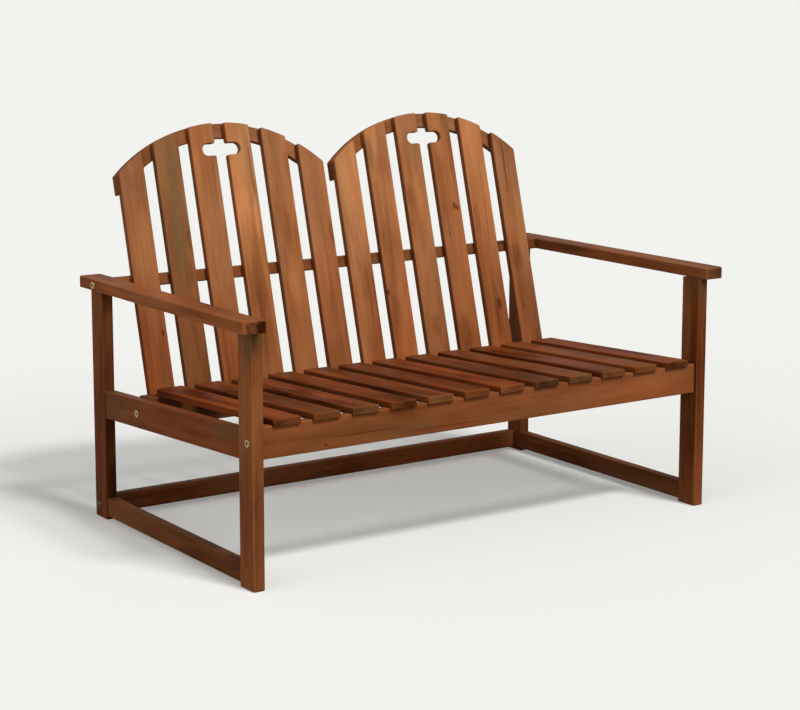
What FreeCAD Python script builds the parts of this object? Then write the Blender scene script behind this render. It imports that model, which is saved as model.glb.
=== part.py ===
import FreeCAD, Part
import math
import os

from FreeCAD import Placement, Rotation, Vector

# A two-seat garden bench in oiled hardwood. Each side frame is two upright posts, a bottom rail,
# a seat rail and a flat armrest. A front apron, a rear seat rail, a middle back rail and a rear
# stretcher join the side frames. Twelve seat slats fall gently to the rear. Twelve back slats
# recline in two panels with arched tops, and each panel has a cross-shaped hand-hold.
# Millimetres. +X is to the right as seen from the front, +Y to the rear, +Z up. The origin is on
# the floor, in the middle of the overall length and depth.

# Overall
OVERALL_LENGTH = 1200.0
ARM_HEIGHT = 524.0
CROWN_HEIGHT = 829.7

# Seat: its height at the front edge, its depth along Y to the back slats, and its fall
SEAT_FRONT_HEIGHT = 327.3
SEAT_DEPTH = 505.5
SEAT_FALL_DEGREES = 2.8

# Back: its lean from upright, and how far each arch rises from its shoulders to its crown
RECLINE_DEGREES = 15.1
ARCH_RISE = 98.5
PANEL_CORNER = 8.0

# Slats, alike in seat and back, evenly spaced between the posts
SLATS_PER_SEAT = 6
SLAT_WIDTH = 60.0
SLAT_THICKNESS = 15.0
SLAT_END_GAP = 23.7

# Armrests. The left one is set further forward than the right one.
ARM_WIDTH = 50.0
ARM_THICKNESS = 24.0
ARM_SIDE_OVERHANG = 34.0
ARM_EXTRA_LENGTH = 17.0
LEFT_ARM_OVERHANG = 32.0
RIGHT_ARM_OVERHANG = 14.0
ARM_FRONT_CORNER = 12.0
ARM_CORNER = 6.0

# Posts
POST_THICKNESS = 25.0
POST_WIDTH = 52.0
POST_BEHIND_BACK_RAIL = 22.0

# Side rails, flush with the posts' inner faces
SIDE_RAIL_THICKNESS = 22.0
LOW_RAIL_RISE = 7.0
LOW_RAIL_HEIGHT = 40.0
SEAT_SIDE_RAIL_DROP = 17.9
SEAT_SIDE_RAIL_HEIGHT = 59.2

# Cross rails
APRON_SETBACK = 8.0
APRON_THICKNESS = 22.0
APRON_HEIGHT = 60.5
STRETCHER_THICKNESS = 22.0
STRETCHER_SETBACK = 8.0
SEAT_RAIL_THICKNESS = 24.6
SEAT_RAIL_HEIGHT = 62.5
BACK_RAIL_THICKNESS = 13.0

# How the seat slats lie on the apron and the rear rail, and how deep they are let into the apron
SLAT_HOUSING = 3.0
SLAT_NOSE = 6.0
SLAT_REAR_BEARING = 12.0

# Battens behind the arched tops
TOP_BATTEN_WIDTH = 32.0
TOP_BATTEN_THICKNESS = 16.0
TOP_BATTEN_OVERRUN = 2.0

# Hand-hold
SLOT_LENGTH = 92.0
SLOT_HEIGHT = 26.0
SLOT_BELOW_BATTEN = 13.0

# Eased edges, and the share of a thin wall that they may take
EDGE_EASE = 2.5
EASE_SHARE = 0.25
CORNER_EASE = 3.5

# Bolts and their barrel nuts
BOLT_DIAMETER = 6.0
BOLT_HEAD_DIAMETER = 15.5
BOLT_HEAD_THICKNESS = 2.2
BOLT_HEAD_EASE = 0.8
SOCKET_ACROSS_FLATS = 5.0
SOCKET_DEPTH = 3.0
BOLT_TAIL = 7.0
NUT_DIAMETER = 10.0
NUT_LENGTH = 12.0
NUT_DEPTH = 30.0
APRON_BOLT_INSET = 9.0
APRON_BOLT_RISE = 33.5
SEAT_RAIL_BOLT_INSET = 11.0

# Dowels
FRAME_DOWEL_DIAMETER = 8.0
FRAME_DOWEL_LENGTH = 40.0
ARM_DOWEL_SKIN = 8.0
SLAT_DOWEL_DIAMETER = 6.0
SLAT_DOWEL_BITE = 9.0
DOWEL_CHAMFER = 0.8

# Where a pair of fasteners sits, as shares of what it joins
PAIR_SHARES = (0.25, 0.75)
SEAT_RAIL_SCREW_SHARES = (0.28, 0.72)

# Screws
SCREW_DIAMETER = 4.0
SCREW_HEAD_DIAMETER = 8.0
SCREW_HEAD_RIM = 0.3
SCREW_HEAD_CONE = 2.0
SCREW_POINT = 4.0
SCREW_POINT_RADIUS = 0.3
SCREW_BITE = 9.0
RECESS_LENGTH = 4.6
RECESS_WIDTH = 0.9
RECESS_DEPTH = 1.5

# Clearances: on each side of a fastener, past its blind end, and past a mouth that is cut open
SIDE_PLAY = 0.1
BOLT_PLAY = 0.3
END_PLAY = 0.4
MOUTH = 1.0

# How near is near enough when edges are told apart, and the angle that still counts as smooth
FINE = 1e-3
COARSE = 1.0
PARALLEL = 1e-6
SMOOTH_DEGREES = 5.0

ORIGIN = Vector(0, 0, 0)
RIGHT = Vector(1, 0, 0)
REAR = Vector(0, 1, 0)
UP = Vector(0, 0, 1)
SIDES = (("left", -1), ("right", 1))

# The two slopes
FALL = math.radians(SEAT_FALL_DEGREES)
LEAN = math.radians(RECLINE_DEGREES)

# Along X
ARM_OUTER = OVERALL_LENGTH / 2
ARM_INNER = ARM_OUTER - ARM_WIDTH
POST_OUTER = ARM_OUTER - ARM_SIDE_OVERHANG
POST_INNER = POST_OUTER - POST_THICKNESS
RAIL_OUTER = POST_INNER + SIDE_RAIL_THICKNESS
RAIL_MIDDLE = POST_INNER + SIDE_RAIL_THICKNESS / 2
SLATS = 2 * SLATS_PER_SEAT
SLAT_PITCH = (2 * (POST_INNER - SLAT_END_GAP) - SLAT_WIDTH) / (SLATS - 1)
PANEL_CENTRE = SLATS_PER_SEAT / 2 * SLAT_PITCH
PANEL_HALF = (SLATS_PER_SEAT - 1) / 2 * SLAT_PITCH + SLAT_WIDTH / 2
SCREW_SPREAD = SLAT_WIDTH / 4

# Heights. Y is counted here from the front posts' front faces.
ARM_UNDER = ARM_HEIGHT - ARM_THICKNESS
APRON_REAR = APRON_SETBACK + APRON_THICKNESS
SEAT_FRONT = APRON_SETBACK - SLAT_NOSE
SEAT_TOP = SEAT_FRONT_HEIGHT + SEAT_FRONT * math.tan(FALL)
SEAT_UNDER = SEAT_TOP - SLAT_THICKNESS / math.cos(FALL)
APRON_LOW = SEAT_UNDER - APRON_SETBACK * math.tan(FALL) - APRON_HEIGHT

# The back slats' front plane: where it would meet the floor, then where it meets the seat
BACK_MEETS_SEAT = SEAT_FRONT + SEAT_DEPTH
BACK_FOOT = BACK_MEETS_SEAT - (SEAT_TOP - BACK_MEETS_SEAT * math.tan(FALL)) * math.tan(LEAN)
CROWN = CROWN_HEIGHT / math.cos(LEAN)
ARCH_RADIUS = (PANEL_HALF ** 2 + ARCH_RISE ** 2) / (2 * ARCH_RISE)
ARCH_CENTRE = CROWN - ARCH_RADIUS
SLOT_MIDDLE = CROWN - TOP_BATTEN_WIDTH - SLOT_BELOW_BATTEN - SLOT_HEIGHT / 2


def seat_under(y):
    """Height of the seat slats' undersides at a distance from the front."""
    return SEAT_UNDER - y * math.tan(FALL)


def back_front(z):
    """Distance of the back slats' front faces from the front, at a height."""
    return BACK_FOOT + z * math.tan(LEAN)


def back_rear(z):
    """Distance of the back slats' rear faces from the front, at a height."""
    return back_front(z) + SLAT_THICKNESS / math.cos(LEAN)


# The rear seat rail's top rear edge lies where the slats' undersides meet the back slats.
SEAT_RAIL_TOP_REAR = back_front(SEAT_UNDER) / (1 + math.tan(FALL) * math.tan(LEAN))
SEAT_RAIL_LOW = seat_under(SEAT_RAIL_TOP_REAR) - SEAT_RAIL_HEIGHT
SEAT_RAIL_FRONT = back_front(SEAT_RAIL_LOW) - SEAT_RAIL_THICKNESS
SEAT_RAIL_MIDDLE = (SEAT_RAIL_LOW + seat_under(SEAT_RAIL_FRONT)) / 2

# From the back rail to the rear posts, and so the side frames' depth
BACK_RAIL_REAR = back_rear(ARM_HEIGHT) + BACK_RAIL_THICKNESS
BACK_RAIL_MIDDLE = (ARM_HEIGHT + ARM_UNDER) / 2
REAR_POST_FRONT = BACK_RAIL_REAR + POST_BEHIND_BACK_RAIL
SIDE_DEPTH = REAR_POST_FRONT + POST_WIDTH
ARM_LENGTH = SIDE_DEPTH + ARM_EXTRA_LENGTH
STRETCHER_REAR = SIDE_DEPTH - STRETCHER_SETBACK
STRETCHER_FRONT = STRETCHER_REAR - STRETCHER_THICKNESS
LOW_RAIL_MIDDLE = LOW_RAIL_RISE + LOW_RAIL_HEIGHT / 2
ARM_OVERHANGS = {"left": LEFT_ARM_OVERHANG, "right": RIGHT_ARM_OVERHANG}

# The finished bench is moved so that its middle lies over the origin.
BACK_THICKNESS = SLAT_THICKNESS + TOP_BATTEN_THICKNESS
REARMOST = (BACK_FOOT + EDGE_EASE + (CROWN - EDGE_EASE) * math.sin(LEAN)
            + (BACK_THICKNESS - EDGE_EASE) * math.cos(LEAN))
MIDDLE_DEPTH = (REARMOST - max(LEFT_ARM_OVERHANG, RIGHT_ARM_OVERHANG)) / 2


def between(first, second):
    """Return two limits in rising order."""
    return min(first, second), max(first, second)


def board(x, y, z):
    """Return a rectangular board between the low and high limits along each axis."""
    return Part.makeBox(x[1] - x[0], y[1] - y[0], z[1] - z[0], Vector(x[0], y[0], z[0]))


def bar_along_x(section, x):
    """Return a bar with a section of (y, z) corners between two limits along X."""
    corners = [Vector(x[0], y, z) for y, z in section]
    face = Part.Face(Part.makePolygon(corners + corners[:1]))
    return face.extrude(RIGHT * (x[1] - x[0]))


def runs_along(direction):
    """Return a test for straight edges that run along a direction."""
    def test(edge):
        straight = isinstance(edge.Curve, Part.Line)
        return straight and abs(abs(edge.tangentAt(edge.FirstParameter).dot(direction)) - 1) < PARALLEL
    return test


def eased(shape, radius, wanted):
    """Return the shape with its wanted edges rounded."""
    return shape.makeFillet(radius, [edge for edge in shape.Edges if wanted(edge)])


def ease_of(wall):
    """Return the edges' radius on a board of the given thickness."""
    return min(EDGE_EASE, EASE_SHARE * wall)


def fall_with_seat(shape):
    """Move a shape from a level seat, with its front top corner line at the origin, to its place."""
    shape.rotate(ORIGIN, RIGHT, -SEAT_FALL_DEGREES)
    shape.translate(UP * SEAT_TOP)
    return shape


def lean_with_back(shape):
    """Move a shape from an upright back, with its front at Y zero, to its reclined place."""
    shape.rotate(ORIGIN, RIGHT, -RECLINE_DEGREES)
    shape.translate(REAR * BACK_FOOT)
    return shape


def slat_middle(index):
    """Return a slat's middle along X, counted from the left."""
    return (index - (SLATS - 1) / 2) * SLAT_PITCH


def panel_of(index):
    """Return -1 for a slat of the left panel and 1 for one of the right panel."""
    return -1 if index < SLATS_PER_SEAT else 1


# Side frames

def post(sign, y):
    """Return an upright post with its long edges and foot eased."""
    shape = board(between(sign * POST_INNER, sign * POST_OUTER), y, (0, ARM_UNDER))
    return eased(shape, ease_of(POST_THICKNESS), lambda edge: edge.BoundBox.ZMin < ARM_UNDER / 2)


def armrest(sign, overhang):
    """Return a flat armrest, rounded most at its outer front corner."""
    x = between(sign * ARM_INNER, sign * ARM_OUTER)
    y = (-overhang, ARM_LENGTH - overhang)
    upright = runs_along(UP)

    def outer_front(edge):
        box = edge.BoundBox
        return upright(edge) and box.XMax * sign > ARM_OUTER - COARSE and box.YMax < COARSE - overhang

    shape = eased(board(x, y, (ARM_UNDER, ARM_HEIGHT)), ARM_FRONT_CORNER, outer_front)
    other = [edge for edge in shape.Edges if upright(edge) and edge.BoundBox.YMax > SIDE_DEPTH / 2
             or upright(edge) and abs(edge.BoundBox.XMax * sign - ARM_INNER) < COARSE]
    shape = shape.makeFillet(ARM_CORNER, other)
    return eased(shape, ease_of(ARM_THICKNESS), lambda edge: edge.BoundBox.ZLength < COARSE)


def low_side_rail(sign):
    """Return a bottom rail between the front and rear posts."""
    shape = board(between(sign * POST_INNER, sign * RAIL_OUTER), (POST_WIDTH, REAR_POST_FRONT),
                  (LOW_RAIL_RISE, LOW_RAIL_RISE + LOW_RAIL_HEIGHT))
    return eased(shape, ease_of(SIDE_RAIL_THICKNESS), runs_along(REAR))


def seat_side_rail_top(y):
    """Height of the seat side rails' top edges at a distance from the front."""
    return SEAT_TOP - SEAT_SIDE_RAIL_DROP - y * math.tan(FALL)


def seat_side_rail(sign):
    """Return a rail beside the seat, with the seat's fall, between the front and rear posts."""
    front, rear = POST_WIDTH, REAR_POST_FRONT
    section = [(front, seat_side_rail_top(front) - SEAT_SIDE_RAIL_HEIGHT),
               (rear, seat_side_rail_top(rear) - SEAT_SIDE_RAIL_HEIGHT),
               (rear, seat_side_rail_top(rear)), (front, seat_side_rail_top(front))]
    shape = bar_along_x(section, between(sign * POST_INNER, sign * RAIL_OUTER))
    return eased(shape, ease_of(SIDE_RAIL_THICKNESS),
                 runs_along(Vector(0, math.cos(FALL), -math.sin(FALL))))


# Rails across the bench

def front_apron():
    """Return the board under the seat's front edge, with a shallow housing for each seat slat."""
    section = [(APRON_SETBACK, APRON_LOW), (APRON_REAR, APRON_LOW),
               (APRON_REAR, seat_under(APRON_REAR) + SLAT_HOUSING),
               (APRON_SETBACK, seat_under(APRON_SETBACK) + SLAT_HOUSING)]
    shape = bar_along_x(section, (-POST_INNER, POST_INNER))
    shape = eased(shape, ease_of(APRON_THICKNESS), runs_along(RIGHT))
    half = SLAT_WIDTH / 2 + SIDE_PLAY
    housings = [fall_with_seat(board((slat_middle(index) - half, slat_middle(index) + half),
                                     (0, APRON_REAR + MOUTH), (-SLAT_THICKNESS, 0)))
                for index in range(SLATS)]
    return shape.cut(housings).Solids[0]


def seat_rear_rail():
    """Return the rail that carries the seat slats' rear ends and the back slats' lower ends."""
    section = [(SEAT_RAIL_FRONT, SEAT_RAIL_LOW), (back_front(SEAT_RAIL_LOW), SEAT_RAIL_LOW),
               (SEAT_RAIL_TOP_REAR, seat_under(SEAT_RAIL_TOP_REAR)),
               (SEAT_RAIL_FRONT, seat_under(SEAT_RAIL_FRONT))]
    shape = bar_along_x(section, (-POST_INNER, POST_INNER))
    return eased(shape, ease_of(SEAT_RAIL_THICKNESS), runs_along(RIGHT))


def rear_stretcher():
    """Return the low board between the rear posts."""
    shape = board((-POST_INNER, POST_INNER), (STRETCHER_FRONT, STRETCHER_REAR),
                  (LOW_RAIL_RISE, LOW_RAIL_RISE + LOW_RAIL_HEIGHT))
    return eased(shape, ease_of(STRETCHER_THICKNESS), runs_along(RIGHT))


def back_mid_rail():
    """Return the rail behind the back slats, level with the armrests and between them."""
    section = [(back_rear(ARM_UNDER), ARM_UNDER), (BACK_RAIL_REAR, ARM_UNDER),
               (BACK_RAIL_REAR, ARM_HEIGHT), (back_rear(ARM_HEIGHT), ARM_HEIGHT)]
    shape = bar_along_x(section, (-ARM_INNER, ARM_INNER))
    return eased(shape, ease_of(BACK_RAIL_THICKNESS), runs_along(RIGHT))


# Seat

SLAT_REAR = ((SEAT_RAIL_FRONT + SLAT_REAR_BEARING + SLAT_THICKNESS * math.sin(FALL))
             / math.cos(FALL))


def seat_slat(index):
    """Return a seat slat with all its edges eased."""
    middle = slat_middle(index)
    shape = board((middle - SLAT_WIDTH / 2, middle + SLAT_WIDTH / 2),
                  (SEAT_FRONT / math.cos(FALL), SLAT_REAR), (-SLAT_THICKNESS, 0))
    return fall_with_seat(eased(shape, ease_of(SLAT_THICKNESS), lambda edge: True))


# Back

def arch_height(across, radius):
    """Height along the back, at a distance from the panel's middle, of an arc about its centre."""
    return ARCH_CENTRE + math.sqrt(radius ** 2 - across ** 2)


def arc_across(low, high, radius, panel, y):
    """Return the arc over a panel between two distances from the panel's middle."""
    points = [Vector(panel * PANEL_CENTRE + across, y, arch_height(across, radius))
              for across in (low, (low + high) / 2, high)]
    return Part.Arc(*points).toShape()


def outline_edges(depths):
    """Return a test for edges that lie flat on either of two depths, front or rear."""
    def test(edge):
        box = edge.BoundBox
        return box.YLength < FINE and min(abs(box.YMin - depth) for depth in depths) < FINE
    return test


def hand_hold(panel):
    """Return the cutter for a panel's horizontal slot, with round ends."""
    straight = (SLOT_LENGTH - SLOT_HEIGHT) / 2
    middle = panel * PANEL_CENTRE
    ends = [Part.makeCylinder(SLOT_HEIGHT / 2, SLAT_THICKNESS,
                              Vector(middle + side * straight, 0, SLOT_MIDDLE), REAR)
            for side in (-1, 1)]
    bar = board((middle - straight, middle + straight), (0, SLAT_THICKNESS),
                (SLOT_MIDDLE - SLOT_HEIGHT / 2, SLOT_MIDDLE + SLOT_HEIGHT / 2))
    return bar.fuse(ends)


def back_slat(index):
    """Return a back slat with its top cut to the panel's arch."""
    panel = panel_of(index)
    middle = slat_middle(index)
    across = middle - panel * PANEL_CENTRE
    low, high = across - SLAT_WIDTH / 2, across + SLAT_WIDTH / 2
    foot = SEAT_RAIL_LOW / math.cos(LEAN)
    above_foot = foot + COARSE
    left, right = middle - SLAT_WIDTH / 2, middle + SLAT_WIDTH / 2
    top = arc_across(low, high, ARCH_RADIUS, panel, 0)
    corners = [Vector(left, 0, arch_height(low, ARCH_RADIUS)), Vector(left, 0, foot),
               Vector(right, 0, foot), Vector(right, 0, arch_height(high, ARCH_RADIUS))]
    face = Part.Face(Part.Wire([top] + Part.makePolygon(corners).Edges))
    shape = face.extrude(REAR * SLAT_THICKNESS)

    through = runs_along(REAR)
    if max(abs(low), abs(high)) > PANEL_HALF - COARSE:
        outer = right if high > 0 else left
        shape = eased(shape, PANEL_CORNER, lambda edge: through(edge) and edge.BoundBox.ZMin > above_foot
                      and abs(edge.BoundBox.XMin - outer) < COARSE)
    if min(abs(low), abs(high)) < SLOT_LENGTH / 2:
        shape = shape.cut(hand_hold(panel)).Solids[0]
    shape = eased(shape, CORNER_EASE, lambda edge: through(edge) and edge.BoundBox.ZMin > above_foot
                  and min(abs(edge.BoundBox.XMin - left), abs(edge.BoundBox.XMin - right)) < FINE
                  and is_sharp(shape, edge))
    flat = outline_edges((0, SLAT_THICKNESS))
    shape = eased(shape, ease_of(SLAT_THICKNESS),
                  lambda edge: flat(edge) and edge.BoundBox.ZMax > above_foot)
    return lean_with_back(shape)


def is_sharp(shape, edge):
    """Tell whether the two faces at an edge meet at a corner and not in a smooth round."""
    faces = shape.ancestorsOfType(edge, Part.Face)
    point = edge.valueAt((edge.FirstParameter + edge.LastParameter) / 2)
    normals = [face.normalAt(*face.Surface.parameter(point)) for face in faces]
    return abs(normals[0].dot(normals[1])) < math.cos(math.radians(SMOOTH_DEGREES))


def top_batten(panel):
    """Return the arched batten behind a panel's slats, flush with their tops."""
    half = PANEL_HALF + TOP_BATTEN_OVERRUN
    front = SLAT_THICKNESS
    inner_radius = ARCH_RADIUS - TOP_BATTEN_WIDTH
    middle = panel * PANEL_CENTRE
    outer = arc_across(-half, half, ARCH_RADIUS, panel, front)
    inner = arc_across(-half, half, inner_radius, panel, front)
    ends = [Part.makeLine(Vector(middle + side * half, front, arch_height(half, ARCH_RADIUS)),
                          Vector(middle + side * half, front, arch_height(half, inner_radius)))
            for side in (-1, 1)]
    wire = Part.Wire(Part.__sortEdges__([outer, ends[1], inner, ends[0]]))
    shape = Part.Face(wire).extrude(REAR * TOP_BATTEN_THICKNESS)
    shape = eased(shape, CORNER_EASE, runs_along(REAR))
    shape = eased(shape, ease_of(TOP_BATTEN_THICKNESS),
                  outline_edges((front, front + TOP_BATTEN_THICKNESS)))
    return lean_with_back(shape)


# Fasteners

class Fastener:
    """A fastener's solid, and the hole that it needs in each board that it passes through."""

    def __init__(self, solid, hole):
        self.solid = solid
        self.hole = hole


def turned(profile, start, direction):
    """Turn (radius, distance) corners about an axis that leaves a start point in a direction."""
    corners = [Vector(radius, 0, distance) for radius, distance in profile]
    face = Part.Face(Part.makePolygon(corners + corners[:1]))
    solid = face.revolve(ORIGIN, UP, 360)
    return set_on(solid, start, direction)


def set_on(shape, start, direction):
    """Place a shape that was made along +Z from the origin."""
    shape.Placement = Placement(start, Rotation(UP, direction))
    return shape


def dowel(start, direction, diameter, length):
    """Return a chamfered dowel from one end to the other."""
    radius = diameter / 2
    profile = [(0, 0), (radius - DOWEL_CHAMFER, 0), (radius, DOWEL_CHAMFER),
               (radius, length - DOWEL_CHAMFER), (radius - DOWEL_CHAMFER, length), (0, length)]
    hole = Part.makeCylinder(radius + SIDE_PLAY, length + 2 * END_PLAY,
                             start - direction * END_PLAY, direction)
    return Fastener(turned(profile, start, direction), hole)


def screw(seat, direction, length):
    """Return a countersunk screw with a cross recess, its head flush at the seat point."""
    head = SCREW_HEAD_DIAMETER / 2
    shank = SCREW_DIAMETER / 2
    neck = SCREW_HEAD_RIM + SCREW_HEAD_CONE
    profile = [(0, 0), (head, 0), (head, SCREW_HEAD_RIM), (shank, neck),
               (shank, length - SCREW_POINT), (SCREW_POINT_RADIUS, length), (0, length)]
    solid = turned(profile, ORIGIN, UP)
    for turn in (0, 90):
        blade = board((-RECESS_LENGTH / 2, RECESS_LENGTH / 2), (-RECESS_WIDTH / 2, RECESS_WIDTH / 2),
                      (0, RECESS_DEPTH))
        blade.rotate(ORIGIN, UP, turn)
        solid = solid.cut(blade)
    wide, narrow = head + SIDE_PLAY, shank + SIDE_PLAY
    hole = turned([(0, -MOUTH), (wide, -MOUTH), (wide, SCREW_HEAD_RIM + SIDE_PLAY),
                   (narrow, neck + SIDE_PLAY), (narrow, length + END_PLAY), (0, length + END_PLAY)],
                  seat, direction)
    return Fastener(set_on(solid.Solids[0], seat, direction), hole)


def bolt(seat, direction, length):
    """Return a bolt with a flat round head and a hexagon socket, its head lying on the seat point."""
    head = Part.makeCylinder(BOLT_HEAD_DIAMETER / 2, BOLT_HEAD_THICKNESS, UP * -BOLT_HEAD_THICKNESS)
    head = eased(head, BOLT_HEAD_EASE, lambda edge: edge.BoundBox.ZMax < -BOLT_HEAD_THICKNESS / 2
                 and edge.BoundBox.ZLength < FINE)
    shank = Part.makeCylinder(BOLT_DIAMETER / 2, length)
    corner = SOCKET_ACROSS_FLATS / math.sqrt(3)
    corners = [Vector(corner * math.cos(math.radians(turn)), corner * math.sin(math.radians(turn)),
                      -BOLT_HEAD_THICKNESS) for turn in range(0, 361, 60)]
    socket = Part.Face(Part.makePolygon(corners)).extrude(UP * SOCKET_DEPTH)
    solid = head.fuse(shank).cut(socket).Solids[0]
    hole = Part.makeCylinder(BOLT_DIAMETER / 2 + BOLT_PLAY, length + END_PLAY + MOUTH,
                             seat - direction * MOUTH, direction)
    return Fastener(set_on(solid, seat, direction), hole)


def barrel_nut(centre, mouth):
    """Return an upright barrel nut round a bolt along X, and its hole up from the rail's underside."""
    radius = NUT_DIAMETER / 2
    low = centre - UP * (NUT_LENGTH / 2)
    thread = Part.makeCylinder(BOLT_DIAMETER / 2 + SIDE_PLAY, NUT_DIAMETER,
                               centre - RIGHT * radius, RIGHT)
    solid = Part.makeCylinder(radius, NUT_LENGTH, low, UP).cut(thread).Solids[0]
    bottom = Vector(centre.x, centre.y, mouth - MOUTH)
    height = centre.z + NUT_LENGTH / 2 + SIDE_PLAY - bottom.z
    return Fastener(solid, Part.makeCylinder(radius + SIDE_PLAY, height, bottom, UP))


# Each bolted joint: the outer face that the head lies on, the rail's end, the bolt's place and
# the rail's underside
BOLTED_JOINTS = {
    "apron_bolts": (POST_OUTER, POST_INNER, APRON_SETBACK + APRON_BOLT_INSET,
                    APRON_LOW + APRON_BOLT_RISE, APRON_LOW),
    "seat_rail_bolts": (RAIL_OUTER, POST_INNER, SEAT_RAIL_FRONT + SEAT_RAIL_BOLT_INSET,
                        SEAT_RAIL_MIDDLE, SEAT_RAIL_LOW),
    "stretcher_bolts": (POST_OUTER, POST_INNER, (STRETCHER_FRONT + STRETCHER_REAR) / 2,
                        LOW_RAIL_MIDDLE, LOW_RAIL_RISE),
    "back_rail_bolts": (ARM_OUTER, ARM_INNER, (back_rear(BACK_RAIL_MIDDLE) + BACK_RAIL_REAR) / 2,
                        BACK_RAIL_MIDDLE, ARM_UNDER),
}


def bolts_of(joint):
    """Return the left and right bolts of a joint."""
    outer, inner, y, z, _ = joint
    length = outer - inner + NUT_DEPTH + BOLT_TAIL
    return [bolt(Vector(sign * outer, y, z), RIGHT * -sign, length) for _, sign in SIDES]


def nuts_of(joint):
    """Return the left and right barrel nuts of a joint."""
    _, inner, y, z, mouth = joint
    return [barrel_nut(Vector(sign * (inner - NUT_DEPTH), y, z), mouth) for _, sign in SIDES]


def side_frame_dowels():
    """Return two level dowels for each end of each side rail, at its quarter heights."""
    found = []
    for _, sign in SIDES:
        for y in (POST_WIDTH, REAR_POST_FRONT):
            seat_rail_low = seat_side_rail_top(y) - SEAT_SIDE_RAIL_HEIGHT
            for low, height in ((LOW_RAIL_RISE, LOW_RAIL_HEIGHT), (seat_rail_low, SEAT_SIDE_RAIL_HEIGHT)):
                for share in PAIR_SHARES:
                    start = Vector(sign * RAIL_MIDDLE, y - FRAME_DOWEL_LENGTH / 2, low + share * height)
                    found.append(dowel(start, REAR, FRAME_DOWEL_DIAMETER, FRAME_DOWEL_LENGTH))
    return found


def armrest_dowels():
    """Return two upright dowels from each post into its armrest, inside both."""
    found = []
    x = (ARM_INNER + POST_OUTER) / 2
    low = ARM_HEIGHT - ARM_DOWEL_SKIN - FRAME_DOWEL_LENGTH
    for name, sign in SIDES:
        arm_rear = ARM_LENGTH - ARM_OVERHANGS[name]
        for front, rear in ((0, POST_WIDTH), (REAR_POST_FRONT, min(SIDE_DEPTH, arm_rear))):
            for share in PAIR_SHARES:
                start = Vector(sign * x, front + share * (rear - front), low)
                found.append(dowel(start, UP, FRAME_DOWEL_DIAMETER, FRAME_DOWEL_LENGTH))
    return found


def seat_slat_dowels():
    """Return two dowels from each seat slat into the apron and two into the rear seat rail."""
    found = []
    across = Vector(0, math.sin(FALL), math.cos(FALL))
    for y in ((APRON_SETBACK + APRON_REAR) / 2, SEAT_RAIL_FRONT + SLAT_REAR_BEARING / 2):
        for index in range(SLATS):
            for side in (-1, 1):
                joint = Vector(slat_middle(index) + side * SCREW_SPREAD, y, seat_under(y))
                found.append(dowel(joint - across * SLAT_DOWEL_BITE, across, SLAT_DOWEL_DIAMETER,
                                   2 * SLAT_DOWEL_BITE))
    return found


def top_batten_screws():
    """Return two screws for each back slat, forward through the arched top batten."""
    found = []
    rearward, up = Vector(0, math.cos(LEAN), -math.sin(LEAN)), Vector(0, math.sin(LEAN), math.cos(LEAN))
    for index in range(SLATS):
        for side in (-1, 1):
            x = slat_middle(index) + side * SCREW_SPREAD
            across = x - panel_of(index) * PANEL_CENTRE
            height = arch_height(across, ARCH_RADIUS - TOP_BATTEN_WIDTH / 2)
            seat = REAR * BACK_FOOT + rearward * BACK_THICKNESS + up * height + RIGHT * x
            found.append(screw(seat, -rearward, TOP_BATTEN_THICKNESS + SCREW_BITE))
    return found


def back_rail_screws():
    """Return two screws for each back slat, forward through the middle back rail."""
    length = BACK_RAIL_REAR - back_rear(BACK_RAIL_MIDDLE) + SCREW_BITE
    return [screw(Vector(slat_middle(index) + side * SCREW_SPREAD, BACK_RAIL_REAR, BACK_RAIL_MIDDLE),
                  -REAR, length) for index in range(SLATS) for side in (-1, 1)]


def seat_rail_screws():
    """Return two screws for each back slat, one above the other, back through the rear seat rail."""
    found = []
    height = seat_under(SEAT_RAIL_FRONT) - SEAT_RAIL_LOW
    for index in range(SLATS):
        for share in SEAT_RAIL_SCREW_SHARES:
            z = SEAT_RAIL_LOW + share * height
            length = back_front(z) - SEAT_RAIL_FRONT + SCREW_BITE
            found.append(screw(Vector(slat_middle(index), SEAT_RAIL_FRONT, z), REAR, length))
    return found


# The whole bench

def boards():
    """Return every board by name, before its holes are cut."""
    found = {}
    for name, sign in SIDES:
        found[name + "_front_post"] = post(sign, (0, POST_WIDTH))
        found[name + "_rear_post"] = post(sign, (REAR_POST_FRONT, SIDE_DEPTH))
        found[name + "_armrest"] = armrest(sign, ARM_OVERHANGS[name])
        found[name + "_seat_side_rail"] = seat_side_rail(sign)
        found[name + "_bottom_side_rail"] = low_side_rail(sign)
        found[name + "_back_top_batten"] = top_batten(sign)
    found["front_apron"] = front_apron()
    found["seat_rear_rail"] = seat_rear_rail()
    found["rear_stretcher"] = rear_stretcher()
    found["back_mid_rail"] = back_mid_rail()
    for index in range(SLATS):
        found["seat_slat_%02d" % (index + 1)] = seat_slat(index)
        found["back_slat_%02d" % (index + 1)] = back_slat(index)
    return found


def fastener_groups():
    """Return every group of like fasteners by name."""
    found = {name: bolts_of(joint) for name, joint in BOLTED_JOINTS.items()}
    found["barrel_nuts"] = [nut for joint in BOLTED_JOINTS.values() for nut in nuts_of(joint)]
    found["side_frame_dowels"] = side_frame_dowels()
    found["armrest_dowels"] = armrest_dowels()
    found["seat_slat_dowels"] = seat_slat_dowels()
    found["top_batten_screws"] = top_batten_screws()
    found["back_rail_screws"] = back_rail_screws()
    found["seat_rail_screws"] = seat_rail_screws()
    return found


def drilled(shape, holes):
    """Return a board with each hole cut that reaches it."""
    near = [hole for hole in holes if shape.BoundBox.intersect(hole.BoundBox)]
    return shape.cut(near).Solids[0] if near else shape


def export(name, shape):
    """Write one sub-part in the bench's own frame."""
    shape.translate(REAR * -MIDDLE_DEPTH)
    shape.exportStep("parts/%s.step" % name)


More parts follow.
